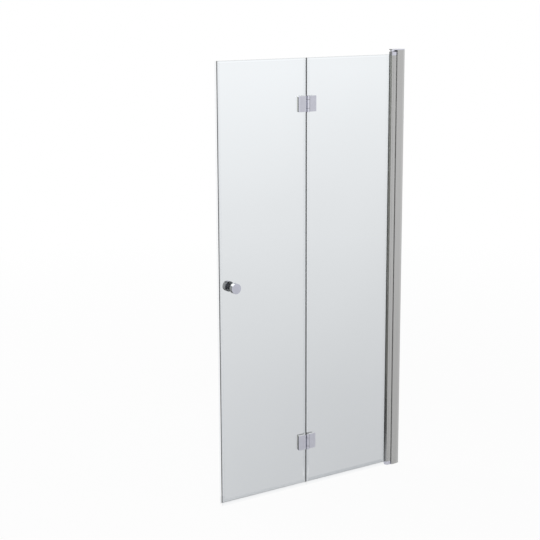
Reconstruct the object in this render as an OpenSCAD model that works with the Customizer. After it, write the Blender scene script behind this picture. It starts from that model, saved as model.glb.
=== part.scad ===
// Bifold shower door: two frameless glass panels that fold on glass hinges
// and swing on a pivot in a slim wall profile.
// X runs along the door: the wall is at X = 0 and the closing edge at -door_w.
// +Y is the inside of the shower, -Y is the room. Z is up from the door's foot.
// The glass stands in the plane Y = 0. All sizes are millimetres.

/* [Overall] */
// Width from the wall to the closing edge
door_w = 1000; // [940:5:1100]
// Height of the wall profile with its top bracket
door_h = 2000; // [1800:10:2200]
// Distance from the wall to the line on which the door folds
fold_from_wall = 534; // [500:1:560]
// Distance from the wall to the pivot axis
pivot_from_wall = 56; // [54:1:62]

/* [Glass] */
// Thickness of the toughened glass
glass_t = 6; // [5:0.5:8]
// Height of the glass's bottom edge above the door's foot
glass_foot = 16; // [14:1:18]
// Distance from the glass's top edge to the top of the door
glass_head = 24; // [22:1:25]
// Gap between the two panes at the fold
joint_gap = 3; // [2.6:0.1:4]
// Radius of the panes' corners
glass_corner_r = 2; // [1:0.5:5]

/* [Wall profiles] */
// Outer depth of the frame profile, front to back
profile_depth = 40; // [38:1:46]
// Wall thickness of the frame profile
profile_wall = 1.8; // [1.5:0.1:2.2]
// Width of the wall channel left in sight beside the frame profile
channel_show = 11; // [4:1:14]
// Wall thickness of the wall channel
channel_wall = 1.6; // [1.4:0.1:2]
// Sliding clearance between channel and frame profile, each side
slide_gap = 0.1; // [0.05:0.05:0.2]
// Distance from the pivot axis to the frame profile's open lips
lip_setback = 13; // [12:0.2:15]
// Running clearance between the round pivot profile and its seat
seat_gap = 0.8; // [0.6:0.1:1.2]
// Diameter of the wall screw holes in the channel
wall_hole_d = 6; // [5:0.5:7]
// Height of the lowest wall screw hole, and depth of the highest below the top
wall_hole_end = 100; // [60:5:160]

/* [Pivot profile] */
// Distance from the pivot axis to the profile's front left corner
pivot_front_w = 18; // [17:0.5:20]
// Distance from the pivot axis to the end of the rear glazing lip
pivot_rear_w = 14; // [12:0.5:15]
// Wall thickness of the pivot profile
pivot_wall = 1.8; // [1.5:0.1:2]
// Distance from the pivot axis to the bottom of the glass slot
slot_from_axis = 7.5; // [7.5:0.1:8]
// Thickness of the glazing gaskets, each side of the glass
glazing_t = 2; // [1.5:0.1:2.5]
// Width of the front glazing gasket's flange on the glass
glazing_flange = 8; // [5:0.5:10]
// Width of the fine groove down the profile's front
front_groove_w = 0.8; // [0.4:0.1:1.2]

/* [Pivots] */
// Diameter of the pivot pins
pivot_pin_d = 8; // [7:0.5:8]
// Wall thickness of the pivot bushes
bush_wall = 1.5; // [1.2:0.1:1.5]
// Length of the pivot bushes
bush_len = 26; // [22:1:40]
// Height of the upper pivot cap
upper_cap_h = 15.5; // [14:0.5:20]
// Height of the lower pivot cap
lower_cap_h = 14; // [13:0.5:20]
// Thickness of the top bracket plate
top_plate_t = 4.5; // [4:0.5:6]
// Thickness of the bottom bracket plate
bottom_plate_t = 5; // [4:0.5:5.5]
// Diameter of the collar above the upper pivot cap
collar_d = 22; // [16:1:26]
// Height of that collar
collar_h = 7.2; // [6:0.2:8]
// Thickness of the thrust washer under the lower pivot cap
thrust_washer_t = 1.2; // [1:0.1:1.5]
// Free height between a cap and the piece that it turns against
thrust_gap = 0.3; // [0.2:0.05:0.5]

/* [Fold hinges] */
// Height of a hinge's leaves
hinge_h = 70; // [60:1:90]
// Distance from the end of the glass to a hinge's centre
hinge_inset = 200; // [150:5:300]
// Reach of the outer panel's leaf from the fold axis
outer_leaf_w = 49; // [44:1:60]
// Reach of the inner panel's leaf from the fold axis
inner_leaf_w = 44; // [42:1:60]
// Thickness of the front leaves
leaf_t = 11; // [10:0.5:13]
// Thickness of the back plates
back_plate_t = 5; // [4:0.5:7]
// Thickness of the gaskets between hinge and glass
hinge_pad_t = 2; // [1:0.5:2.5]
// Diameter of the hinge barrel
barrel_d = 12; // [10:0.5:12.5]
// Diameter of the hinge pin
hinge_pin_d = 5; // [4:0.5:6]
// Height of the two end knuckles
end_knuckle_h = 16; // [12:1:22]
// Thickness of the washers between the knuckles
knuckle_washer_t = 1; // [0.6:0.1:1.5]

/* [Knob] */
// Diameter of the knob's head
knob_d = 46; // [35:1:55]
// Length of the knob's head
knob_head_l = 22; // [15:1:30]
// Diameter of the knob's neck
knob_neck_d = 26; // [20:1:32]
// Length of the knob's neck
knob_neck_l = 15; // [10:1:20]
// Distance from the glass's free edge to the knob's centre
knob_from_edge = 62.4; // [50:0.1:90]
// Height of the knob's centre
knob_z = 998; // [900:1:1100]
// Diameter of the threaded stud through the knobs
knob_stud_d = 8; // [6:1:10]

/* [Seals] */
// Thickness of the clear seals
seal_t = 0.9; // [0.8:0.1:1.1]
// Width of the seals' flanges on the glass
seal_flange = 14; // [9:0.5:16]
// Reach of the closing seal beyond the glass
closing_reach = 11; // [9:0.5:14]
// Reach of the drip lip into the shower
drip_reach = 9; // [6:0.5:10]

/* [Hidden] */
$fn = 96;

// Shared clearances
eps = 0.01;         // overshoot of a cut past the face that it opens
fit_gap = 0.05;     // radial clearance of a piece fixed in its bore
run_gap = 0.08;     // radial clearance of a pin or bush that turns

// Wall side: frame profile, seen from above
half_depth = profile_depth / 2;
pivot_r = half_depth;
seat_r = pivot_r + seat_gap;
frame_left = -pivot_from_wall + lip_setback;
frame_inner_half = half_depth - profile_wall;
web_left = -pivot_from_wall + seat_r + profile_wall;
web_right = web_left + profile_wall;
channel_half = frame_inner_half - slide_gap;
channel_inner_half = channel_half - channel_wall;
channel_end_gap = 1.6;
channel_left = web_right + channel_end_gap;
chamber_near = 5;                       // frame chambers start here, off the mid plane
chamber_far = 11.5;                     // and end here, below the screw ports
screw_port_d = 3.3;
screw_port_x = web_right - 3.4;
screw_port_y = half_depth - 5;
bracket_screw_d = 3.2;
bracket_screw_l = 18;
bracket_wall_gap = 1;                   // the top bracket stops this far off the wall
bracket_tail = 2;                       // the bottom bracket reaches this far past the frame profile
collar_chamfer = 1.2;                   // across the slope
tongue_r = 14;                          // round end of the bottom bracket, under the pivot
seal_root_w = 2.4;                      // groove for the pivot seal in the seat
seal_root_left = web_left - profile_wall - 0.5;
seal_root_right = seal_root_left + 2.1;
seal_bead_r = 0.7;
soft_gap = 0.3;                         // between a soft seal and a piece that moves past it
seal_bead_x = -pivot_from_wall + pivot_r + soft_gap + seal_bead_r;
wall_hole_zs = [for (i = [0:3]) wall_hole_end + i * (door_h - 2 * wall_hole_end) / 3];

// Levels of the pivots
frame_top = door_h - top_plate_t;
channel_top = frame_top - 1;
upper_cap_top = frame_top - collar_h - thrust_gap;
pivot_profile_top = upper_cap_top - upper_cap_h;
washer_top = bottom_plate_t + thrust_washer_t;
lower_cap_bottom = washer_top + thrust_gap;
pivot_profile_bottom = lower_cap_bottom + lower_cap_h;
bush_d = pivot_pin_d + 2 * bush_wall;
bush_bore_r = bush_d / 2 + fit_gap;
pivot_tube_r = bush_bore_r + 1.7;
pin_seat_depth = 3;                     // how far the pins stand in their brackets
pin_bush_end_gap = 2;                   // the pins stop this far short of the bush end
cap_boss_r = 3.9;
cap_screw_l = 27;
cap_slot_gap = 0.2;                     // round the glass's corner in a cap

// Panes
glass_half = glass_t / 2;
glass_bottom = glass_foot;
glass_top = door_h - glass_head;
slot_half = glass_half + glazing_t;
rear_lip_t = 2;
pivot_rear_y = slot_half + rear_lip_t;
inner_glass_right = -pivot_from_wall - slot_from_axis - 0.5;
inner_glass_left = -fold_from_wall + joint_gap / 2;
outer_glass_right = -fold_from_wall - joint_gap / 2;
outer_glass_left = -door_w + closing_reach;

// Pivot profile: ports of the cap screws, and the inside of its sloping rear wall
cap_port_inset = cap_boss_r + pivot_wall - 0.3;
cap_rear_port = (pivot_r - pivot_wall - cap_boss_r + 0.6) * sqrt(0.5);
cap_screw_places = [
    [-pivot_front_w + cap_port_inset, -pivot_r + cap_port_inset],
    [cap_rear_port, cap_rear_port],
];
rear_rise = pivot_r - pivot_rear_y;
rear_slope_l = norm([pivot_rear_w, rear_rise]);
rear_in_x = -pivot_rear_w + pivot_wall * rear_rise / rear_slope_l;
rear_in_y = pivot_rear_y - pivot_wall * pivot_rear_w / rear_slope_l;
rear_wall_x = rear_in_x + (slot_half + pivot_wall - rear_in_y) * pivot_rear_w / rear_rise;
rear_wall_y = rear_in_y - rear_in_x * rear_rise / pivot_rear_w;

// Fold hinges: leaf sections are drawn with u away from the axis and v off the glass
hinge_zs = [glass_bottom + hinge_inset, glass_top - hinge_inset];
leaf_front_v = hinge_pad_t + leaf_t;
barrel_r = barrel_d / 2;
axis_over_leaf = 0.5;                   // the axis lies this far in front of the leaves
axis_v = leaf_front_v + axis_over_leaf;
fold_axis_y = -glass_half - axis_v;
barrel_gap = 0.5;                       // between the barrel and the other leaf's edge
leaf_near_u = barrel_r + barrel_gap;
barrel_over = 1;                        // the barrel's ends stand past the leaves
barrel_h = hinge_h + 2 * barrel_over;
knuckle_gap = 0.3;                      // between the middle knuckle and the washers
knuckle_washer_inset = 0.4;             // the washers' rims lie this far inside the barrel
leaf_corner_r = 3;
leaf_chamfer_w = 5;
leaf_chamfer_d = 1.8;
back_chamfer_w = 1.5;
back_chamfer_d = 1;
arm_bite = 1;                           // the knuckles' arms run this far into the leaf
back_inset = 6;                         // the back plates are this much shorter outside
hinge_screw_d = 5;
hinge_head_d = 9;
hinge_head_t = 2.6;
hinge_screw_bite = 7;                   // depth of the screws in the front leaves
hinge_screw_z = hinge_h / 4;
glass_hole_d = 10;
hinge_pin_inset = 0.5;                  // the pin's ends lie this far inside the barrel
hinge_screw_end_gap = 0.5;              // between a screw's tip and the end of its hole

// Knob
knob_x = outer_glass_left + knob_from_edge;
knob_washer_t = 1;
knob_hole_d = knob_stud_d + 4;
knob_stud_bite = 12;
knob_edge = 1;                          // rounding of the head's edges

// Seals
seal_clip_h = 14;                       // drip seals climb this far up the glass
seal_end_gap = 0.5;
vertical_seal_bottom = glass_bottom + seal_clip_h + seal_end_gap;
hinge_notch = hinge_h / 2 + barrel_over + 1;
drip_fall = 8;                          // the drip lip ends this far below the seal's web
drip_side_gap = 1;                      // between the drip seal and the lower pivot cap
joint_lip_half = 0.3;                   // half the width of the joint seal's lip at its tip

// Screws between the wall parts
adjuster_inset = 150;                   // from the profile's ends to the outer adjuster screws
adjuster_zs = [adjuster_inset, door_h / 2, door_h - adjuster_inset];
adjuster_x = -(channel_show - channel_left) / 2;
adjuster_d = 4;
adjuster_head_d = 8;
adjuster_head_t = 2;
recess_w = 1;                           // arms of the cross recess in the head
recess_d = 1;
cover_d = 12;
cover_t = 3.5;
cover_gap = 0.2;                        // between a cover and the head under it

satin = [0.69, 0.69, 0.68];
chrome = [0.74, 0.75, 0.80];
dark_steel = [0.35, 0.36, 0.38];
glass_tint = [0.85, 0.88, 0.90, 0.45];
clear_seal = [0.93, 0.94, 0.95, 0.7];
white_plastic = [0.9, 0.9, 0.9];
black_plastic = [0.12, 0.12, 0.13];

// ---------------------------------------------------------------- helpers

// A rectangle between x0 and x1, y0 and y1
module area(x0, x1, y0, y1) {
    translate([x0, y0]) square([x1 - x0, y1 - y0]);
}

// The same rectangle with round corners
module round_area(x0, x1, y0, y1, r) {
    area(x0 + r, x1 - r, y0, y1);
    area(x0, x1, y0 + r, y1 - r);
    for (x = [x0 + r, x1 - r], y = [y0 + r, y1 - r]) translate([x, y]) circle(r);
}

// Extrudes a plan from level z0 up to level z1
module upright(z0, z1) {
    translate([0, 0, z0]) linear_extrude(z1 - z0) children();
}

// Extrudes an outline drawn in (X, Z) from depth y0 back to depth y1
module facing(y0, y1) {
    translate([0, y1, 0]) rotate([90, 0, 0]) linear_extrude(y1 - y0) children();
}

// Extrudes a section drawn in (Y, Z) from x0 to x1
module along_x(x0, x1) {
    translate([x0, 0, 0]) rotate([90, 0, 90]) linear_extrude(x1 - x0) children();
}

// A rod along Y, from y0 to y1
module rod_y(x, z, d, y0, y1) {
    translate([x, y0, z]) rotate([-90, 0, 0]) cylinder(h = y1 - y0, d = d);
}

// Moves a plan drawn round the pivot axis to that axis
module at_pivot() {
    translate([-pivot_from_wall, 0, 0]) children();
}

// A countersunk screw standing on its tip side down: the head's top is at the origin.
// grow widens it into the hole that takes it.
module countersunk(d, length, grow = 0) {
    translate([0, 0, -d / 2]) cylinder(h = d / 2, d1 = d + 2 * grow, d2 = 2 * d + 2 * grow);
    translate([0, 0, -length]) cylinder(h = length - d / 2, d = d + 2 * grow);
}

// Both ends of the frame profile's two screw ports; the heads are flush with the brackets
module at_bracket_screws(upper) {
    for (side = [-1, 1]) translate([screw_port_x, side * screw_port_y, upper ? door_h : 0])
        mirror([0, 0, upper ? 0 : 1]) children();
}

// The two screws of one pivot cap
module at_cap_screws(upper) {
    at_pivot() for (p = cap_screw_places) translate([p[0], p[1], upper ? upper_cap_top : lower_cap_bottom])
        mirror([0, 0, upper ? 0 : 1]) children();
}

// ---------------------------------------------------------------- wall side

module wall_channel() {
    color(satin) difference() {
        upright(0, channel_top) difference() {
            area(channel_left, 0, -channel_half, channel_half);
            area(channel_left - eps, -channel_wall, -channel_inner_half, channel_inner_half);
        }
        for (z = wall_hole_zs) translate([-channel_wall - eps, 0, z]) rotate([0, 90, 0])
            cylinder(h = channel_wall + 2 * eps, d = wall_hole_d);
        for (z = adjuster_zs)
            rod_y(adjuster_x, z, adjuster_d + 2 * fit_gap, channel_inner_half - eps, channel_half + eps);
    }
}

// One of the two hollow chambers beside the concave seat
module frame_chamber() {
    difference() {
        area(web_left - chamber_far, web_left, chamber_near, chamber_far);
        at_pivot() circle(seat_r + profile_wall);
    }
}

module frame_section() {
    difference() {
        area(frame_left, -channel_show, -half_depth, half_depth);
        area(web_right, -channel_show + eps, -frame_inner_half, frame_inner_half);
        at_pivot() circle(seat_r);
        frame_chamber();
        mirror([0, 1]) frame_chamber();
        for (side = [-1, 1]) translate([screw_port_x, side * screw_port_y]) circle(d = screw_port_d);
        area(seal_root_left, seal_root_right, -seal_root_w / 2, seal_root_w / 2);
    }
}

module frame_profile() {
    color(satin) difference() {
        upright(0, frame_top) frame_section();
        // pocket in the foot for the bottom bracket
        upright(-eps, bottom_plate_t)
            area(frame_left - eps, web_right + eps, -frame_inner_half, frame_inner_half);
        for (z = adjuster_zs)
            rod_y(adjuster_x, z, adjuster_d + 2 * fit_gap, frame_inner_half - eps, half_depth + eps);
    }
}

// Soft strip in the seat that wipes the round side of the pivot profile
module pivot_seal() {
    color(black_plastic) upright(bottom_plate_t + seal_end_gap, frame_top - seal_end_gap) {
        area(seal_root_left + fit_gap, seal_root_right - fit_gap,
             -seal_root_w / 2 + fit_gap, seal_root_w / 2 - fit_gap);
        translate([seal_bead_x, 0]) circle(seal_bead_r);
    }
}

// Outline shared by the pivot caps and the head of the top bracket, round the pivot axis
module pivot_outline() {
    intersection() {
        circle(pivot_r);
        area(0, pivot_r, -pivot_r, pivot_r);
    }
    polygon([[-pivot_front_w, -pivot_r], [0, -pivot_r], [0, pivot_r], [-pivot_rear_w, pivot_rear_y]]);
}

module top_bracket() {
    color(chrome) difference() {
        upright(frame_top, door_h) {
            at_pivot() pivot_outline();
            area(-pivot_from_wall, -bracket_wall_gap, -half_depth, half_depth);
        }
        at_pivot() upright(frame_top - eps, frame_top + pin_seat_depth) circle(pivot_pin_d / 2 + fit_gap);
        translate([0, 0, eps]) at_bracket_screws(true)
            countersunk(bracket_screw_d, bracket_screw_l, fit_gap);
    }
}

module bottom_bracket() {
    color(chrome) difference() {
        upright(0, bottom_plate_t) {
            at_pivot() circle(tongue_r);
            area(-pivot_from_wall, frame_left, -tongue_r, tongue_r);
            area(frame_left, web_right - fit_gap, -channel_half, channel_half);
            area(web_left, -channel_show - bracket_tail,
                 -channel_inner_half + slide_gap, channel_inner_half - slide_gap);
        }
        at_pivot() upright(bottom_plate_t - pin_seat_depth, bottom_plate_t + eps)
            circle(pivot_pin_d / 2 + fit_gap);
        translate([0, 0, -eps]) at_bracket_screws(false)
            countersunk(bracket_screw_d, bracket_screw_l, fit_gap);
    }
}

module bracket_screws() {
    color(dark_steel) for (upper = [true, false]) at_bracket_screws(upper)
        countersunk(bracket_screw_d, bracket_screw_l);
}

module upper_pivot_collar() {
    color(chrome) at_pivot() translate([0, 0, frame_top - collar_h]) rotate_extrude()
        difference() {
            area(pivot_pin_d / 2 + fit_gap, collar_d / 2, 0, collar_h);
            translate([collar_d / 2, 0]) rotate(45) square(collar_chamfer, center = true);
        }
}

module lower_thrust_washer() {
    color(white_plastic) at_pivot() upright(bottom_plate_t, washer_top) difference() {
        circle(pivot_pin_d);
        circle(pivot_pin_d / 2 + run_gap);
    }
}

module upper_pivot_pin() {
    color(dark_steel) at_pivot()
        upright(upper_cap_top - bush_len + pin_bush_end_gap, frame_top + pin_seat_depth)
        circle(d = pivot_pin_d);
}

module lower_pivot_pin() {
    color(dark_steel) at_pivot()
        upright(bottom_plate_t - pin_seat_depth, lower_cap_bottom + bush_len - pin_bush_end_gap)
        circle(d = pivot_pin_d);
}

module adjuster_screws() {
    color(dark_steel) for (z = adjuster_zs) {
        rod_y(adjuster_x, z, adjuster_d, channel_inner_half - adjuster_d, half_depth + eps);
        difference() {
            rod_y(adjuster_x, z, adjuster_head_d, half_depth, half_depth + adjuster_head_t);
            for (turn = [0, 90])
                translate([adjuster_x, half_depth + adjuster_head_t, z]) rotate([0, turn, 0])
                cube([adjuster_head_d * 0.6, 2 * recess_d, recess_w], center = true);
        }
    }
}

module adjuster_screw_covers() {
    color(satin) for (z = adjuster_zs) difference() {
        rod_y(adjuster_x, z, cover_d, half_depth, half_depth + cover_t);
        rod_y(adjuster_x, z, adjuster_head_d + 2 * cover_gap,
              half_depth - eps, half_depth + adjuster_head_t + cover_gap);
    }
}

// ---------------------------------------------------------------- pivot side of the inner panel

// Hollow in front of the glass slot, with a port for a cap screw in its corner
module pivot_front_chamber() {
    difference() {
        union() {
            area(-pivot_front_w + pivot_wall, 0, -pivot_r + pivot_wall, -slot_half - pivot_wall);
            intersection() {
                circle(pivot_r - pivot_wall);
                area(0, pivot_r, -pivot_r, -pivot_wall / 2);
            }
        }
        circle(pivot_tube_r);
        translate(cap_screw_places[0]) circle(cap_boss_r);
    }
}

// Hollow behind the glass slot; its sloping wall follows the outline
module pivot_rear_chamber() {
    difference() {
        union() {
            polygon([[rear_wall_x, slot_half + pivot_wall], [0, slot_half + pivot_wall], [0, rear_wall_y]]);
            intersection() {
                circle(pivot_r - pivot_wall);
                area(0, pivot_r, pivot_wall / 2, pivot_r);
            }
        }
        circle(pivot_tube_r);
        translate(cap_screw_places[1]) circle(cap_boss_r);
    }
}

module pivot_section() {
    difference() {
        union() {
            intersection() {
                circle(pivot_r);
                area(0, pivot_r, -pivot_r, pivot_r);
            }
            polygon([
                [-pivot_front_w, -pivot_r], [0, -pivot_r], [0, pivot_r], [-pivot_rear_w, pivot_rear_y],
                [-pivot_rear_w, slot_half], [-slot_from_axis, slot_half],
                [-slot_from_axis, -slot_half], [-pivot_front_w, -slot_half],
            ]);
        }
        pivot_front_chamber();
        pivot_rear_chamber();
        circle(bush_bore_r);
        for (p = cap_screw_places) translate(p) circle(d = screw_port_d);
        // fine groove down the front face
        area(-pivot_front_w / 2 - front_groove_w / 2, -pivot_front_w / 2 + front_groove_w / 2,
             -pivot_r - eps, -pivot_r + front_groove_w);
    }
}

module pivot_profile() {
    color(satin) at_pivot() upright(pivot_profile_bottom, pivot_profile_top) pivot_section();
}

// One pivot cap between two levels; the glass's corner stands in its slot
module pivot_cap(z0, z1, glass_z0, glass_z1, upper) {
    difference() {
        at_pivot() upright(z0, z1) pivot_outline();
        at_pivot() upright(z0 - eps, z1 + eps) circle(bush_bore_r);
        at_pivot() upright(glass_z0, glass_z1)
            area(-pivot_front_w - eps, -slot_from_axis,
                 -glass_half - cap_slot_gap, glass_half + cap_slot_gap);
        translate([0, 0, upper ? eps : -eps]) at_cap_screws(upper)
            countersunk(bracket_screw_d, cap_screw_l, fit_gap);
    }
}

module upper_pivot_cap() {
    color(chrome) pivot_cap(pivot_profile_top, upper_cap_top,
                            pivot_profile_top - eps, glass_top + cap_slot_gap, true);
}

module lower_pivot_cap() {
    color(chrome) pivot_cap(lower_cap_bottom, pivot_profile_bottom,
                            glass_bottom - cap_slot_gap, pivot_profile_bottom + eps, false);
}

module cap_screws() {
    color(dark_steel) for (upper = [true, false]) at_cap_screws(upper)
        countersunk(bracket_screw_d, cap_screw_l);
}

module bush(z0) {
    color(black_plastic) at_pivot() upright(z0, z0 + bush_len) difference() {
        circle(d = bush_d);
        circle(pivot_pin_d / 2 + run_gap);
    }
}

module upper_pivot_bush() { bush(upper_cap_top - bush_len); }

module lower_pivot_bush() { bush(lower_cap_bottom); }

// The front gasket fills the slot and lies with a thin flange on the glass
module front_glazing_gasket() {
    color(clear_seal) at_pivot() {
        upright(pivot_profile_bottom, pivot_profile_top)
            area(-pivot_front_w, -slot_from_axis - seal_end_gap, -slot_half, -glass_half);
        upright(vertical_seal_bottom, pivot_profile_top)
            area(-pivot_front_w - glazing_flange, -pivot_front_w, -glass_half - seal_t, -glass_half);
    }
}

module rear_glazing_gasket() {
    color(clear_seal) at_pivot() upright(pivot_profile_bottom, pivot_profile_top)
        area(-pivot_rear_w, -slot_from_axis - seal_end_gap, glass_half, slot_half);
}

// ---------------------------------------------------------------- glass and seals

// A pane between x0 and x1 with its hinge holes at hole_x
module pane(x0, x1, hole_x) {
    difference() {
        facing(-glass_half, glass_half) round_area(x0, x1, glass_bottom, glass_top, glass_corner_r);
        for (z = hinge_zs, side = [-1, 1])
            rod_y(hole_x, z + side * hinge_screw_z, glass_hole_d, -glass_half - eps, glass_half + eps);
    }
}

module inner_glass() {
    color(glass_tint) pane(inner_glass_left, inner_glass_right, -fold_from_wall + screw_u(inner_leaf_w));
}

module outer_glass() {
    color(glass_tint) difference() {
        pane(outer_glass_left, outer_glass_right, -fold_from_wall - screw_u(outer_leaf_w));
        rod_y(knob_x, knob_z, knob_hole_d, -glass_half - eps, glass_half + eps);
    }
}

// Drip seal under a pane from x0 to x1: its clip leaves the flanges of the upright seals free
module drip_seal(x0, x1, clip_x0, clip_x1) {
    web_z = glass_bottom - seal_t;
    foot_half = glass_half + seal_t;
    along_x(x0, x1) {
        area(-foot_half, foot_half, web_z, glass_bottom);
        polygon([[-foot_half, web_z + eps], [-glass_half, web_z + eps],
                 [-glass_half - seal_t / 4, 0], [-foot_half + seal_t / 4, 0]]);
        polygon([[glass_half, web_z + eps], [foot_half, web_z + eps],
                 [drip_reach, web_z - drip_fall], [drip_reach - seal_t, web_z - drip_fall]]);
    }
    along_x(clip_x0, clip_x1) for (side = [0, 1]) mirror([side, 0])
        area(glass_half, foot_half, web_z, glass_bottom + seal_clip_h);
}

module inner_drip_seal() {
    pivot_edge = -pivot_from_wall - pivot_front_w;
    color(clear_seal) drip_seal(
        inner_glass_left, pivot_edge - drip_side_gap,
        inner_glass_left + seal_flange + seal_end_gap, pivot_edge - glazing_flange - seal_end_gap);
}

module outer_drip_seal() {
    clip_inset = seal_flange + seal_end_gap;
    color(clear_seal) drip_seal(
        outer_glass_left, outer_glass_right,
        outer_glass_left + clip_inset, outer_glass_right - clip_inset);
}

// Clip on an upright edge of the glass at X = 0, with the pane on the +X side
module edge_clip() {
    for (side = [0, 1]) mirror([0, side]) area(-seal_t, seal_flange, glass_half, glass_half + seal_t);
    area(-seal_t, 0, -glass_half - seal_t, glass_half + seal_t);
}

// The joint seals stop short of the hinges
module between_hinges() {
    ends = [glass_bottom, each [for (z = hinge_zs) each [z - hinge_notch, z + hinge_notch]], glass_top];
    for (i = [0:2:len(ends) - 2]) upright(ends[i], ends[i + 1]) children();
}

module inner_joint_seal() {
    color(clear_seal) between_hinges() translate([inner_glass_left, 0]) edge_clip();
}

module outer_joint_seal() {
    lip = joint_gap - 2 * seal_t - soft_gap;
    color(clear_seal) between_hinges() translate([outer_glass_right, 0]) mirror([1, 0]) {
        edge_clip();
        polygon([[-seal_t + eps, -glass_half], [-seal_t - lip, -joint_lip_half],
                 [-seal_t - lip, joint_lip_half], [-seal_t + eps, glass_half]]);
    }
}

// Area between x0 and x1 that is closed by a half circle at x0
module round_end(x0, x1, r) {
    area(x0, x1, -r, r);
    intersection() {
        translate([x0, 0]) circle(r);
        area(x0 - 2 * r, x0, -2 * r, 2 * r);
    }
}

// A clip on the glass's free edge with a hollow bulb that presses on the opposite side
module closing_edge_seal() {
    bulb_r = glass_half + seal_t;
    bulb_x = -closing_reach + bulb_r;
    color(clear_seal) upright(glass_bottom, glass_top) translate([outer_glass_left, 0]) difference() {
        round_end(bulb_x, seal_flange, bulb_r);
        round_end(bulb_x, -seal_t, glass_half);
        area(0, seal_flange + eps, -glass_half, glass_half);
    }
}

// ---------------------------------------------------------------- fold hinges
// These modules draw the inner panel's half at the origin of the glass's front face on the
// fold line, with u along +X; at_hinge places it, and mirrors it for the outer panel.

function screw_u(w) = (leaf_near_u + w - back_inset) / 2;

module at_hinge(i, outer) {
    translate([-fold_from_wall, 0, hinge_zs[i]]) mirror([outer ? 1 : 0, 0, 0]) children();
}

// Plate from u0 to u1 whose outward face has a flat chamfer on each upright edge
module chamfered_plate(u0, u1, depth, chamfer_w, chamfer_d) {
    intersection() {
        upright(-hinge_h / 2, hinge_h / 2) polygon([
            [u0, 0], [u1, 0], [u1, -depth + chamfer_d], [u1 - chamfer_w, -depth],
            [u0 + chamfer_w, -depth], [u0, -depth + chamfer_d],
        ]);
        facing(-depth, 0) round_area(u0, u1, -hinge_h / 2, hinge_h / 2, leaf_corner_r);
    }
}

// The knuckles of one leaf between the given pairs of levels, each on its arm
module knuckles(levels) {
    for (pair = levels) {
        translate([0, fold_axis_y, 0]) upright(pair[0], pair[1]) circle(d = barrel_d);
        upright(max(pair[0], -hinge_h / 2), min(pair[1], hinge_h / 2))
            area(0, leaf_near_u + arm_bite,
                 fold_axis_y + axis_over_leaf + leaf_chamfer_d, fold_axis_y + barrel_r);
    }
}

module front_leaf(w, levels, bore_gap) {
    difference() {
        union() {
            translate([0, -glass_half - hinge_pad_t, 0])
                chamfered_plate(leaf_near_u, w, leaf_t, leaf_chamfer_w, leaf_chamfer_d);
            knuckles(levels);
        }
        translate([0, fold_axis_y, 0]) upright(-barrel_h / 2 - eps, barrel_h / 2 + eps)
            circle(hinge_pin_d / 2 + bore_gap);
        for (side = [-1, 1])
            rod_y(screw_u(w), side * hinge_screw_z, hinge_screw_d + 2 * fit_gap,
                  -glass_half - hinge_pad_t - hinge_screw_bite, -glass_half);
    }
}

module inner_leaf(i) {
    end = barrel_h / 2;
    color(chrome) at_hinge(i, false)
        front_leaf(inner_leaf_w, [[-end, -end + end_knuckle_h], [end - end_knuckle_h, end]], fit_gap);
}

module outer_leaf(i) {
    end = barrel_h / 2 - end_knuckle_h - knuckle_washer_t - knuckle_gap;
    color(chrome) at_hinge(i, true) front_leaf(outer_leaf_w, [[-end, end]], run_gap);
}

module hinge_pin(i) {
    color(dark_steel) at_hinge(i, false) translate([0, fold_axis_y, 0])
        upright(-barrel_h / 2 + hinge_pin_inset, barrel_h / 2 - hinge_pin_inset) circle(d = hinge_pin_d);
}

// Washers on the pin, above and below the outer leaf's knuckle
module hinge_washers(i) {
    end = barrel_h / 2 - end_knuckle_h;
    color(black_plastic) at_hinge(i, false) translate([0, fold_axis_y, 0]) for (side = [0, 1])
        mirror([0, 0, side]) upright(end - knuckle_washer_t, end) difference() {
            circle(barrel_r - knuckle_washer_inset);
            circle(hinge_pin_d / 2 + fit_gap);
        }
}

module back_plate(i, w, outer) {
    back_y = glass_half + hinge_pad_t;
    color(chrome) at_hinge(i, outer) difference() {
        translate([0, back_y, 0]) mirror([0, 1, 0])
            chamfered_plate(leaf_near_u, w - back_inset, back_plate_t, back_chamfer_w, back_chamfer_d);
        for (side = [-1, 1]) {
            rod_y(screw_u(w), side * hinge_screw_z, hinge_screw_d + 2 * fit_gap,
                  back_y - eps, back_y + back_plate_t + eps);
            rod_y(screw_u(w), side * hinge_screw_z, hinge_head_d + 2 * fit_gap,
                  back_y + back_plate_t - hinge_head_t, back_y + back_plate_t + eps);
        }
    }
}

// The two gaskets between the glass and a hinge's leaf and back plate
module hinge_gaskets(i, w, outer) {
    half = hinge_h / 2 - seal_end_gap;
    color(clear_seal) at_hinge(i, outer) for (back = [0, 1]) difference() {
        mirror([0, back, 0]) facing(-glass_half - hinge_pad_t, -glass_half)
            round_area(leaf_near_u + seal_end_gap, w - seal_end_gap - back * back_inset,
                       -half, half, leaf_corner_r);
        for (side = [-1, 1])
            rod_y(screw_u(w), side * hinge_screw_z, hinge_screw_d + 2 * fit_gap,
                  -glass_half - hinge_pad_t - eps, glass_half + hinge_pad_t + eps);
    }
}

// Socket screws from the back plate through the glass into the front leaf
module hinge_screws(i, w, outer) {
    head_y = glass_half + hinge_pad_t + back_plate_t;
    tip_y = -glass_half - hinge_pad_t - hinge_screw_bite + hinge_screw_end_gap;
    color(dark_steel) at_hinge(i, outer) for (side = [-1, 1]) difference() {
        union() {
            rod_y(screw_u(w), side * hinge_screw_z, hinge_screw_d, tip_y, head_y - hinge_head_t + eps);
            rod_y(screw_u(w), side * hinge_screw_z, hinge_head_d, head_y - hinge_head_t, head_y);
        }
        translate([screw_u(w), head_y - hinge_head_t * 0.7, side * hinge_screw_z]) rotate([-90, 0, 0])
            cylinder(h = hinge_head_t, d = hinge_screw_d * 0.9, $fn = 6);
    }
}

// ---------------------------------------------------------------- knob

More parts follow.
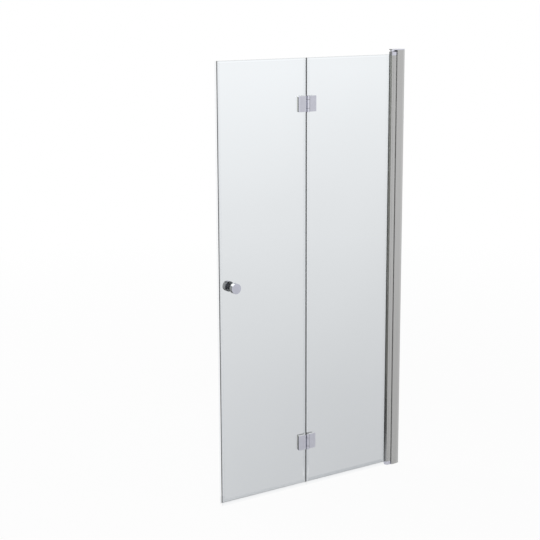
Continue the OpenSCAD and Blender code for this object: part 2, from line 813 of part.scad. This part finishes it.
// One knob standing along +Z on its washer, with a blind hole for the stud
module knob_body() {
    head_end = knob_neck_l + knob_head_l;
    rotate_extrude() difference() {
        union() {
            area(0, knob_neck_d / 2, 0, knob_neck_l + knob_edge);
            area(0, knob_d / 2 - knob_edge, knob_neck_l, head_end);
            area(0, knob_d / 2, knob_neck_l + knob_edge, head_end - knob_edge);
            for (z = [knob_neck_l + knob_edge, head_end - knob_edge])
                translate([knob_d / 2 - knob_edge, z]) circle(knob_edge);
        }
        area(-eps, knob_stud_d / 2 + fit_gap, -eps, knob_stud_bite + seal_end_gap);
    }
}

module at_knob(front) {
    translate([knob_x, 0, knob_z]) rotate([front ? 90 : -90, 0, 0])
        translate([0, 0, glass_half]) children();
}

module front_knob() { color(chrome) at_knob(true) translate([0, 0, knob_washer_t]) knob_body(); }

module rear_knob() { color(chrome) at_knob(false) translate([0, 0, knob_washer_t]) knob_body(); }

module knob_stud() {
    reach = glass_half + knob_washer_t + knob_stud_bite;
    color(dark_steel) rod_y(knob_x, knob_z, knob_stud_d, -reach, reach);
}

module knob_gaskets() {
    color(clear_seal) for (front = [true, false]) at_knob(front) upright(0, knob_washer_t) difference() {
        circle(d = knob_neck_d);
        circle(knob_stud_d / 2 + fit_gap);
    }
}

module knob_sleeve() {
    color(white_plastic) difference() {
        rod_y(knob_x, knob_z, knob_hole_d - 2 * fit_gap, -glass_half, glass_half);
        rod_y(knob_x, knob_z, knob_stud_d + 2 * fit_gap, -glass_half - eps, glass_half + eps);
    }
}

// ---------------------------------------------------------------- the assembly

module upper_hinge_inner_leaf() { inner_leaf(1); }
module upper_hinge_inner_back_plate() { back_plate(1, inner_leaf_w, false); }
module upper_hinge_inner_gaskets() { hinge_gaskets(1, inner_leaf_w, false); }
module upper_hinge_inner_screws() { hinge_screws(1, inner_leaf_w, false); }
module upper_hinge_pin() { hinge_pin(1); }
module upper_hinge_washers() { hinge_washers(1); }
module lower_hinge_inner_leaf() { inner_leaf(0); }
module lower_hinge_inner_back_plate() { back_plate(0, inner_leaf_w, false); }
module lower_hinge_inner_gaskets() { hinge_gaskets(0, inner_leaf_w, false); }
module lower_hinge_inner_screws() { hinge_screws(0, inner_leaf_w, false); }
module lower_hinge_pin() { hinge_pin(0); }
module lower_hinge_washers() { hinge_washers(0); }
module upper_hinge_outer_leaf() { outer_leaf(1); }
module upper_hinge_outer_back_plate() { back_plate(1, outer_leaf_w, true); }
module upper_hinge_outer_gaskets() { hinge_gaskets(1, outer_leaf_w, true); }
module upper_hinge_outer_screws() { hinge_screws(1, outer_leaf_w, true); }
module lower_hinge_outer_leaf() { outer_leaf(0); }
module lower_hinge_outer_back_plate() { back_plate(0, outer_leaf_w, true); }
module lower_hinge_outer_gaskets() { hinge_gaskets(0, outer_leaf_w, true); }
module lower_hinge_outer_screws() { hinge_screws(0, outer_leaf_w, true); }

wall_channel();
frame_profile();
top_bracket();
bottom_bracket();
upper_pivot_collar();
lower_thrust_washer();
upper_pivot_pin();
lower_pivot_pin();
bracket_screws();
adjuster_screws();
adjuster_screw_covers();
pivot_seal();
pivot_profile();
upper_pivot_cap();
lower_pivot_cap();
upper_pivot_bush();
lower_pivot_bush();
cap_screws();
front_glazing_gasket();
rear_glazing_gasket();
inner_glass();
inner_drip_seal();
inner_joint_seal();
upper_hinge_inner_leaf();
upper_hinge_inner_back_plate();
upper_hinge_inner_gaskets();
upper_hinge_inner_screws();
upper_hinge_pin();
upper_hinge_washers();
lower_hinge_inner_leaf();
lower_hinge_inner_back_plate();
lower_hinge_inner_gaskets();
lower_hinge_inner_screws();
lower_hinge_pin();
lower_hinge_washers();
outer_glass();
outer_drip_seal();
outer_joint_seal();
closing_edge_seal();
upper_hinge_outer_leaf();
upper_hinge_outer_back_plate();
upper_hinge_outer_gaskets();
upper_hinge_outer_screws();
lower_hinge_outer_leaf();
lower_hinge_outer_back_plate();
lower_hinge_outer_gaskets();
lower_hinge_outer_screws();
front_knob();
rear_knob();
knob_stud();
knob_gaskets();
knob_sleeve();
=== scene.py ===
import math

import bpy
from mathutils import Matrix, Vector


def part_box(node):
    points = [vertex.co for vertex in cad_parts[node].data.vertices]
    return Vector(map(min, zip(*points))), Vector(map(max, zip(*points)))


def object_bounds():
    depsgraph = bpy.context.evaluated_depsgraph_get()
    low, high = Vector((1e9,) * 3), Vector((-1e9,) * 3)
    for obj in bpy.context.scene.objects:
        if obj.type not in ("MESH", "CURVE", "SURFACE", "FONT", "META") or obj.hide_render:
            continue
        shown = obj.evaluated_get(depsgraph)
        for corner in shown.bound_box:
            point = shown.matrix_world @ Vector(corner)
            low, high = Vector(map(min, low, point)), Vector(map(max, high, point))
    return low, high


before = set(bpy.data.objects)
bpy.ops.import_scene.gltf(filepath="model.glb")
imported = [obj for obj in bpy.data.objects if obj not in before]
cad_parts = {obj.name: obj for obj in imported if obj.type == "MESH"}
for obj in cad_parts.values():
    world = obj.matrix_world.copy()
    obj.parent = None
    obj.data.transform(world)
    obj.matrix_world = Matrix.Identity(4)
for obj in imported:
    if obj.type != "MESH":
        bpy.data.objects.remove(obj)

cad_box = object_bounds()
scene = bpy.context.scene


# ---------------------------------------------------------------- places on the door

DOOR_TOP = cad_box[1].z
pane_low, pane_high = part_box("outer_glass")
PANE_FACE, PANE_FOOT, PANE_HEAD = pane_high[1], pane_low[2], pane_high[2]
# the X of the panes' upright edges: the closing edge, and both sides of the fold
EDGES = (pane_low[0], pane_high[0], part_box("inner_glass")[0][0])
# X on either side of which the ground edges are the closing side's and the fold's
CLOSING_SIDE, FOLD_SIDE = -0.95, -0.6
# the X of the hinges' axis
BARREL_X = sum(corner[0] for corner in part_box("upper_hinge_pin")) / 2
# the heights between which the gap round the upper collar is open
COLLAR_GAP = (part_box("upper_pivot_cap")[1][2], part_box("top_bracket")[0][2])
# how near to a plane a point counts as on it
ON_PLANE = 0.0001


# ---------------------------------------------------------------- shader helpers

def grey(value):
    return (value, value, value, 1.0)


def scaled(colour, factor):
    return tuple(min(c * factor, 1.0) for c in colour[:3]) + (1.0,)


def scaled_up(colour, factor):
    """As scaled, but also beyond 1, for what gives light."""
    return tuple(c * factor for c in colour[:3]) + (1.0,)


class Tree:
    """A material's or the world's nodes, with short calls to make and wire them."""

    def __init__(self, owner):
        owner.use_nodes = True
        self.nodes, self.links = owner.node_tree.nodes, owner.node_tree.links
        self.nodes.clear()

    def add(self, kind, inputs=(), out=0, **settings):
        """Makes a node, sets its settings and inputs, and returns one of its outputs, if any."""
        node = self.nodes.new("ShaderNode" + kind)
        for name, value in settings.items():
            setattr(node, name, value)
        for name, value in dict(inputs).items():
            self.put(node.inputs[name], value)
        return node.outputs[out] if node.outputs else None

    def put(self, socket, value):
        if isinstance(value, bpy.types.NodeSocket):
            self.links.new(value, socket)
        else:
            socket.default_value = value

    def math(self, operation, a, b=0.0, c=0.0):
        return self.add("Math", {0: a, 1: b, 2: c}, operation=operation)

    def times(self, a, b):
        return self.math("MULTIPLY", a, b)

    def span(self, value, low, high, to_low, to_high):
        """Maps value from low..high to to_low..to_high, and no further."""
        return self.add("MapRange", {0: value, 1: low, 2: high, 3: to_low, 4: to_high})

    def smooth(self, value, low, high):
        """0 up to low and 1 from high on, with a soft start and end between them."""
        return self.add("MapRange", {0: value, 1: low, 2: high}, interpolation_type="SMOOTHSTEP")

    def vary(self, noise, low, high, spread=0.2):
        """low to high after noise, most of which lies within spread of 0.5."""
        return self.span(noise, 0.5 - spread, 0.5 + spread, low, high)

    def blend(self, factor, a, b):
        """A colour between a and b."""
        return self.add("Mix", {0: factor, 6: a, 7: b}, out=2, data_type="RGBA")

    def scale(self, colour, factor):
        return self.add("VectorMath", {0: colour, "Scale": factor}, operation="SCALE")

    def ramp(self, value, stops):
        """Colours at places from 0 to 1."""
        output = self.add("ValToRGB", {0: value})
        band = output.node.color_ramp
        while len(band.elements) < len(stops):
            band.elements.new(0.5)
        for element, (place, colour) in zip(band.elements, stops):
            element.position, element.color = place, colour
        return output

    def place(self, axis):
        """Where a point lies along X, Y or Z, on the door at rest."""
        return self.add("SeparateXYZ", {0: self.add("TexCoord", out="Object")}, out=axis)

    def facing(self, axis):
        """How far a face looks along X, Y or Z, from -1 to 1."""
        return self.add("SeparateXYZ", {0: self.add("TexCoord", out="Normal")}, out=axis)

    def noise(self, stretch, detail=2.0, rough=0.5):
        """Noise over the object, from 0 to 1, with stretch waves a metre along X, Y and Z."""
        place = self.add("TexCoord", out="Object")
        place = self.add("Mapping", {"Vector": place, "Scale": stretch})
        look = {"Vector": place, "Scale": 1.0, "Detail": detail, "Roughness": rough}
        return self.add("TexNoise", look)

    def bump(self, height, depth):
        return self.add("Bump", {"Strength": 1.0, "Distance": depth, "Height": height})

    def recess(self, reach):
        """0 on open faces, towards 1 deep in a gap that is narrow against reach."""
        open_sky = self.add("AmbientOcclusion", {"Distance": reach}, out="AO", samples=6)
        return self.span(open_sky, 0.05, 0.75, 1.0, 0.0)

    def mix_shader(self, factor, a, b):
        return self.add("MixShader", {0: factor, 1: a, 2: b})

    def clear(self, colour):
        return self.add("BsdfTransparent", {"Color": colour})

    def glow(self, colour):
        return self.add("Emission", {"Color": colour, "Strength": 1.0})

    def surface(self, shader):
        self.add("OutputMaterial", {"Surface": shader})


def material(name, colour):
    made = bpy.data.materials.new(name)
    made.diffuse_color = colour
    return made, Tree(made)


# ---------------------------------------------------------------- metals and plastics

ALONG_Z = (900.0, 900.0, 4.0)
# how far the painted shade in the gap round the upper collar reaches
COLLAR_SHADE_REACH = 0.03
# a face looks up or sideways from here on
TURNED = 0.6
# the inner leaf's painted shade, measured from the hinge's axis: the barrel ends at BARREL_END, and
# the painted shade is full up to the first distance of BARREL_PAINTED_SHADE and gone at the second
BARREL_END = 0.0062
BARREL_PAINTED_SHADE = (0.0092, 0.0112)


def brushed_metal(name, colour, roughness, streaks=ALONG_Z, depth=0.00003, anisotropic=0.35):
    """Anodised or brushed metal: fine lines along the piece, faint cloudiness across it, painted light
    in its gaps and a painted black shade deep in the gap round the upper collar.
    """
    made, t = material(name, colour)
    lines = t.noise(streaks, detail=3.0, rough=0.6)
    cloud = t.noise((5.0, 5.0, 2.2))
    grain = t.math("MULTIPLY_ADD", lines, 0.7, t.times(cloud, 0.3))
    base = t.blend(t.vary(grain, 0.0, 1.0), scaled(colour, 0.94), scaled(colour, 1.06))
    # painted light: gaps are painted up to a fifth lighter, against their shade
    base = t.blend(t.recess(0.02), base, scaled(colour, 1.2))
    # painted shade: the gap round the upper collar is painted black in its depth
    height = t.place("Z")
    in_gap = t.times(t.math("GREATER_THAN", height, COLLAR_GAP[0]),
                     t.math("LESS_THAN", height, COLLAR_GAP[1]))
    base = t.blend(t.times(in_gap, t.recess(COLLAR_SHADE_REACH)), base, grey(0.01))
    t.surface(t.add("BsdfPrincipled", {
        "Base Color": base,
        "Metallic": 1.0,
        "Roughness": t.vary(grain, roughness - 0.05, roughness + 0.06),
        "Anisotropic": anisotropic,
        "Normal": t.bump(lines, depth),
    }))
    return made


def polished_metal(name, colour, roughness, reach=0.004, deep=0.4, head=1.0, side=1.0, barrel=None):
    """Chrome plate: nearly mirror bright, with faint waves under the plate and a trace of wiping.
    deep is its brightness, against colour, in gaps that are narrow against reach: a painted shade
    below 1 and a painted light above 1.
    head and side are its brightness on faces that look up and sideways, painted highlights above 1.
    barrel is the X of a hinge's axis, beside whose barrel the inner leaf is darker by a painted shade."""
    made, t = material(name, colour)
    waves = t.noise((55.0, 55.0, 55.0), detail=1.0)
    wiped = t.noise((180.0, 180.0, 45.0), detail=4.0, rough=0.65)
    base = t.blend(t.vary(waves, 0.0, 1.0, 0.15), scaled(colour, 0.975), scaled(colour, 1.02))
    # painted shade in narrow gaps, or painted light where deep is over 1
    base = t.blend(t.recess(reach), base, grey(colour[1] * deep))
    # painted highlight on faces that look up, where head is over 1
    if head != 1.0:
        looks_up = t.math("GREATER_THAN", t.facing("Z"), TURNED)
        base = t.blend(looks_up, base, grey(colour[1] * head))
    # painted highlight on faces that look sideways, where side is over 1
    if side != 1.0:
        looks_sideways = t.math("GREATER_THAN", t.math("ABSOLUTE", t.facing("X")), TURNED)
        base = t.blend(looks_sideways, base, grey(colour[1] * side))
    # painted shade on the inner leaf beside the hinge's barrel
    if barrel is not None:
        beside = t.math("SUBTRACT", t.place("X"), barrel)
        shade = t.span(beside, *BARREL_PAINTED_SHADE, 0.58, 1.0)
        base = t.scale(base, t.math("MAXIMUM", shade, t.math("LESS_THAN", beside, BARREL_END)))
    t.surface(t.add("BsdfPrincipled", {
        "Base Color": base,
        "Metallic": 1.0,
        "Roughness": t.span(wiped, 0.35, 0.7, roughness, roughness * 1.9),
        "Normal": t.bump(waves, 0.00002),
    }))
    return made


def plastic(name, colour, roughness):
    """Moulded plastic or rubber with a fine matt grain."""
    made, t = material(name, colour)
    grain = t.noise((900.0, 900.0, 900.0))
    tint = t.noise((40.0, 40.0, 12.0))
    t.surface(t.add("BsdfPrincipled", {
        "Base Color": t.blend(t.vary(tint, 0.0, 1.0, 0.15), scaled(colour, 0.88), colour),
        "Roughness": t.vary(grain, roughness - 0.08, roughness + 0.08),
        "Normal": t.bump(grain, 0.00004),
    }))
    return made


# ---------------------------------------------------------------- glass and its seals

# the share of red, green and blue that each face of the glass lets through, from foot to head, with a
# painted shade that deepens it towards the foot
GLASS_TINT_AND_PAINTED_SHADE = [(0.0, (0.763, 0.775, 0.787, 1.0)),
        (0.2, (0.788, 0.800, 0.812, 1.0)),
        (0.43, (0.829, 0.842, 0.852, 1.0)),
        (0.67, (0.867, 0.880, 0.890, 1.0)),
        (0.96, (0.931, 0.946, 0.957, 1.0))]
GLASS_SHINE = 0.045
GRAZING_SHINE = 0.9
# a ground edge's darkest and lightest grain
GROUND = ((0.016, 0.018, 0.018, 1.0), (0.030, 0.033, 0.033, 1.0))
# how bright the grain is, darker as a painted shade at the closing side and lighter as a painted light
# at the fold, and how much light passes, at the closing side and at the fold
GROUND_PAINTED_SHADE_AND_LIGHT = (0.25, 2.5)
GROUND_CLEAR = (0.0, 0.18)
# the rim's painted dark line and painted highlight end this far under the head, and the closing edge's
# darker band this far from it
PAINTED_DARK_LINE, PAINTED_HIGHLIGHT_LINE = 0.0037, 0.0079
CLOSING_LINE = (0.003, 0.0055)
# how far up the drip seals grip the panes, at the most
FOOT_GRIP = 0.03


def edge_mask(t):
    """1 on the faces of a pane's edges, 0 on its two large faces."""
    return t.math("LESS_THAN", t.math("ABSOLUTE", t.facing("Y")), 0.5)


def ground_edge(t):
    """The panes' ground edges: darkened by a painted shade at the closing side, and lightened by a
    painted light and letting light through at the fold.
    """
    along = t.place("X")
    ground = t.noise((600.0, 600.0, 600.0))
    # painted shade at the closing side, painted light at the fold
    light = t.span(along, CLOSING_SIDE, FOLD_SIDE, *GROUND_PAINTED_SHADE_AND_LIGHT)
    frosted = t.add("BsdfPrincipled", {
        "Base Color": t.scale(t.blend(ground, *GROUND), light),
        "Roughness": t.vary(ground, 0.38, 0.52),
        "Normal": t.bump(ground, 0.00003),
    })
    passing = t.span(along, CLOSING_SIDE, FOLD_SIDE, *GROUND_CLEAR)
    return t.mix_shader(passing, frosted, t.clear((0.98, 0.99, 0.985, 1.0)))


def clear_glass(name):
    """Toughened glass: a light grey-blue tint with a painted shade that deepens towards the foot,
    darker ground edges.
    """
    made, t = material(name, (0.86, 0.89, 0.9, 0.35))
    along, height = t.place("X"), t.place("Z")
    # painted shade: the tint deepens towards the foot
    tint = t.ramp(t.math("DIVIDE", height, DOOR_TOP), GLASS_TINT_AND_PAINTED_SHADE)
    # painted shade: a little clearer towards the closing edge and darker towards the fold, and never
    # quite even
    across = t.span(along, -1.0, 0.0, 1.011, 0.990)
    uneven = t.vary(t.noise((2.5, 2.5, 1.6), detail=1.0), 0.996, 1.004)
    # painted along the rim: a dark line over a painted highlight along the head, and darker at the
    # closing edge
    rim = 1.0
    for depth, factor in ((PAINTED_DARK_LINE, 0.932), (PAINTED_HIGHLIGHT_LINE, 1.035)):
        level = PANE_HEAD - depth
        rim = t.times(rim, t.span(height, level - ON_PLANE, level + ON_PLANE, 1.0, factor))
    closing = [EDGES[0] + reach for reach in CLOSING_LINE]
    rim = t.times(rim, t.span(along, *closing, 0.78, 1.0))
    tint = t.scale(tint, t.times(rim, t.times(across, uneven)))
    mirror = t.add("BsdfGlossy", {"Color": grey(1.0), "Roughness": 0.0})
    grazing = t.math("POWER", t.add("LayerWeight", {"Blend": 0.5}, out="Facing"), 4.0)
    pane = t.mix_shader(t.math("MINIMUM", grazing, GRAZING_SHINE),
                        t.mix_shader(GLASS_SHINE, t.clear(tint), mirror), mirror)
    t.surface(t.mix_shader(edge_mask(t), pane, ground_edge(t)))
    return made


def clear_seal(name, body, clearness):
    """Soft clear PVC: lets most light through, with a milky body and a soft shine."""
    made, t = material(name, body)
    cloud = t.noise((60.0, 60.0, 20.0), detail=3.0)
    milk = t.add("BsdfPrincipled", {
        "Base Color": t.blend(cloud, scaled(body, 0.94), body),
        "Roughness": t.vary(cloud, 0.24, 0.36),
        "Normal": t.bump(cloud, 0.0001),
    })
    # a seal that grips a pane's foot darkens it a little
    on_face = t.math("COMPARE", t.math("ABSOLUTE", t.place("Y")), PANE_FACE, ON_PLANE)
    on_foot = t.times(on_face, t.math("LESS_THAN", t.place("Z"), PANE_FOOT + FOOT_GRIP))
    through = t.blend(on_foot, (0.985, 0.987, 0.99, 1.0), (0.92, 0.925, 0.93, 1.0))
    clear = t.mix_shader(t.vary(cloud, clearness - 0.005, clearness + 0.005), milk, t.clear(through))
    # where a seal lies on a pane's ground edge, the edge shows
    along, on_edge = t.place("X"), 0.0
    for edge in EDGES:
        on_edge = t.math("MAXIMUM", on_edge, t.math("COMPARE", along, edge, ON_PLANE))
    sideways = t.math("GREATER_THAN", t.math("ABSOLUTE", t.facing("X")), 0.5)
    t.surface(t.mix_shader(t.times(on_edge, sideways), clear, ground_edge(t)))
    return made


# ---------------------------------------------------------------- finishes

# each finish, with the endings of the names of the nodes that have it
finishes = [
    (brushed_metal("satin_aluminium", (0.468, 0.468, 0.464, 1.0), 0.30),
     ("pivot_profile", "frame_profile")),
    (brushed_metal("channel_aluminium", (0.53, 0.53, 0.526, 1.0), 0.34),
     ("wall_channel",)),
    (brushed_metal("cap_plate", (0.52, 0.52, 0.52, 1.0), 0.32, anisotropic=0.2),
     ("adjuster_screw_covers",)),
    (brushed_metal("screw_steel", (0.42, 0.42, 0.44, 1.0), 0.28, (500.0, 500.0, 500.0), 0.00002, 0.0),
     ("_screws",)),
    (brushed_metal("pin_steel", (0.45, 0.455, 0.475, 1.0), 0.2, (700.0, 700.0, 20.0), 0.00001, 0.2),
     ("_pin", "knob_stud")),
    # the chromes are painted darker in narrow gaps, a painted shade
    (polished_metal("bracket_chrome", (0.60, 0.605, 0.68, 1.0), 0.10),
     ("_bracket", "_pivot_collar", "_pivot_cap")),
    # painted highlight on the leaves' upward faces, and painted shade beside the barrel
    (polished_metal("hinge_chrome", (0.535, 0.54, 0.605, 1.0), 0.09, head=1.8, barrel=BARREL_X),
     ("_leaf",)),
    # painted light in gaps, and painted highlights on upward and sideways faces
    (polished_metal("rear_plate_chrome", (0.55, 0.555, 0.61, 1.0), 0.09, deep=1.6, head=1.3, side=1.7),
     ("_back_plate",)),
    # painted shade in gaps and towards the glass
    (polished_metal("knob_chrome", (0.515, 0.524, 0.598, 1.0), 0.05, reach=0.06, deep=0.34),
     ("_knob",)),
    (clear_glass("clear_glass"),
     ("_glass",)),
    (clear_seal("clear_seal", (0.80, 0.815, 0.825, 1.0), 0.985),
     ("_drip_seal", "_joint_seal", "closing_edge_seal", "_glazing_gasket", "knob_gaskets")),
    (plastic("grey_seal", (0.10, 0.10, 0.105, 1.0), 0.55),
     ("pivot_seal",)),
    (plastic("pad_plastic", (0.86, 0.87, 0.88, 1.0), 0.5),
     ("_inner_gaskets", "_outer_gaskets")),
    (plastic("washer_plastic", (0.72, 0.72, 0.70, 1.0), 0.4),
     ("lower_thrust_washer", "knob_sleeve")),
    (plastic("bush_plastic", (0.02, 0.02, 0.022, 1.0), 0.42),
     ("_pivot_bush", "_hinge_washers")),
]
for name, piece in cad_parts.items():
    piece.data.materials.clear()
    piece.data.materials.append(next(made for made, endings in finishes if name.endswith(endings)))


# ---------------------------------------------------------------- studio

# the world's light on the door, against the white that it shows behind it
AMBIENT = 0.55
FLOOR_REACH = 30.0
# the floor lies this far under the door, so that no face lies on it
FLOOR_SINK = 0.0005
DOOR_MIDDLE = (-0.5, 0.0, 0.0)
# how white the floor is at the door, how much less of that mirrors see, and the distances from
# the door between which it turns to pure white
FLOOR_WHITE, FLOOR_LESS_IN_MIRRORS = 0.93, 0.33
FLOOR_FADE = (1.5, 6.0)
# the metal's sides look neutral though its fronts are faintly blue, so what they mirror is warmer
SIDE_TONE = (1.0, 1.0, 0.87)


def seen(t):
    """1 for what the camera, a mirror or glass looks at, 0 for light that falls on things."""
    rays = t.add("LightPath").node.outputs
    both = t.math("MAXIMUM", rays["Is Camera Ray"], rays["Is Glossy Ray"])
    return t.math("MAXIMUM", both, rays["Is Transmission Ray"])


def make_world():
    world = bpy.data.worlds.new("studio")
    scene.world = world
    t = Tree(world)
    soft = t.add("Background", {"Color": grey(1.0), "Strength": AMBIENT})
    white = t.add("Background", {"Color": grey(1.0), "Strength": 1.0})
    t.add("OutputWorld", {"Surface": t.mix_shader(seen(t), soft, white)})


def level(left, right, near, far, height):
    """The corners of a level rectangle."""
    return [(left, near, height), (right, near, height), (right, far, height), (left, far, height)]


def upright(left, right, foot, head):
    """The corners of an upright rectangle between two points of the floor."""
    return [(*left, foot), (*right, foot), (*right, head), (*left, head)]


def plane(name, corners):
    mesh = bpy.data.meshes.new(name)
    mesh.from_pydata([Vector(c) for c in corners], [], [tuple(range(len(corners)))])
    made = bpy.data.objects.new(name, mesh)
    scene.collection.objects.link(made)
    return made


def make_floor():
    """A white floor that keeps the door's shadow and fades into the white of the world."""
    floor = plane("floor", level(-FLOOR_REACH, FLOOR_REACH, -FLOOR_REACH, FLOOR_REACH, 0.0))
    floor.location.z = -FLOOR_SINK
    made, t = material("floor_white", grey(0.9))
    away = t.add("VectorMath", {0: t.add("TexCoord", out="Object"), 1: DOOR_MIDDLE},
                 operation="DISTANCE", out="Value")
    glossy = t.add("LightPath", out="Is Glossy Ray")
    near = t.math("MULTIPLY_ADD", glossy, -FLOOR_LESS_IN_MIRRORS, FLOOR_WHITE)
    fade = t.span(away, *FLOOR_FADE, near, 1.0)
    paint = t.add("BsdfDiffuse", {"Color": t.blend(t.noise((3.0, 3.0, 3.0)), grey(0.90), grey(0.93))})
    t.surface(t.mix_shader(t.times(fade, seen(t)), paint, t.glow(grey(1.0))))
    floor.data.materials.append(made)


def make_card(name, corners, up, values, soft=0.3, foot=0.02, turn=(0.0, 1.0), tone=(1.0, 1.0, 1.0)):
    """A card that only mirrors see, as a photographer sets up for metal. values are its brightness
    at its left and right foot and its left and right head, and turn is where it goes over from left
    to right. Its borders fade out over soft, or over foot where it stands on the floor."""
    card = plane(name, corners)
    made, t = material(name, grey(values[0]))
    place = t.add("SeparateXYZ", {0: t.add("TexCoord", out="Generated")}).node.outputs
    across, along = place["X"], place[up]
    right = t.smooth(across, *turn)
    low, high = (t.blend(right, scaled_up(tone, one), scaled_up(tone, other))
                 for one, other in (values[:2], values[2:]))
    borders = [(across, soft), (t.math("SUBTRACT", 1.0, across), soft),
               (along, foot if up == "Z" else soft), (t.math("SUBTRACT", 1.0, along), soft)]
    cover = 1.0
    for inwards, reach in borders:
        cover = t.times(cover, t.smooth(inwards, 0.0, reach))
    nothing = t.add("BsdfTransparent")
    t.surface(t.mix_shader(cover, nothing, t.glow(t.blend(along, low, high))))
    card.data.materials.append(made)
    card.visible_camera = card.visible_diffuse = False
    card.visible_transmission = card.visible_shadow = False


def make_lamp(name, place, aim, size, power):
    data = bpy.data.lights.new(name, "AREA")
    data.shape, data.size, data.size_y, data.energy = "RECTANGLE", *size, power
    lamp = bpy.data.objects.new(name, data)
    scene.collection.objects.link(lamp)
    lamp.location = place
    lamp.rotation_mode = "QUATERNION"
    lamp.rotation_quaternion = (Vector(aim) - Vector(place)).to_track_quat("-Z", "Y")


make_world()
make_floor()
make_card("card_back_left", upright((-2.7, 0.3), (0.1, 1.9), 0.0, 2.6), "Z",
          (0.5, 0.15, 0.76, 0.34), turn=(0.41, 0.64), tone=SIDE_TONE)
make_card("card_floor_back", level(-2.7, 0.3, 0.03, 2.6, 0.002), "Y",
          (0.41, 0.05, 0.41, 0.05), soft=0.15, turn=(0.56, 0.68), tone=SIDE_TONE)
make_card("card_knob", upright((-1.03, 0.1), (-0.87, 0.1), 1.075, 1.18), "Z",
          (3.0, 3.0, 3.0, 3.0), soft=0.2, foot=0.06, tone=SIDE_TONE)
make_card("card_front_left", upright((-2.6, -0.3), (-0.5, -2.4), 0.0, 2.6), "Z",
          (1.2, 1.2, 1.4, 1.4), foot=0.3)
make_lamp("key", place=(-3.2, -3.6, 4.2), aim=(-0.5, 0.0, 1.0), size=(2.2, 2.2), power=80.0)
make_lamp("back", place=(-1.7, 3.0, 2.9), aim=(-0.8, 0.0, 1.0), size=(1.5, 1.1), power=24.0)


# ---------------------------------------------------------------- camera

CAMERA_PLACE = (-3.7807, -4.7188, 2.2987)
# degrees that the camera looks down, and that it is turned from the door's front to the wall
CAMERA_DOWN, CAMERA_TURN = 11.574, 34.120


def make_camera():
    data = bpy.data.cameras.new("camera")
    data.sensor_width, data.lens = 36.0, 86.67
    data.shift_x, data.shift_y = -0.05, -0.04
    camera = bpy.data.objects.new("camera", data)
    scene.collection.objects.link(camera)
    camera.location = CAMERA_PLACE
    camera.rotation_euler = (math.radians(90.0 - CAMERA_DOWN), 0.0, math.radians(-CAMERA_TURN))
    scene.camera = camera


make_camera()
scene.view_settings.view_transform = "Standard"
# a ray crosses many faces of glass and seals, and is not dropped at random on its way
scene.cycles.transparent_max_bounces = 32
scene.cycles.min_transparent_bounces = 16

bpy.context.view_layer.update()
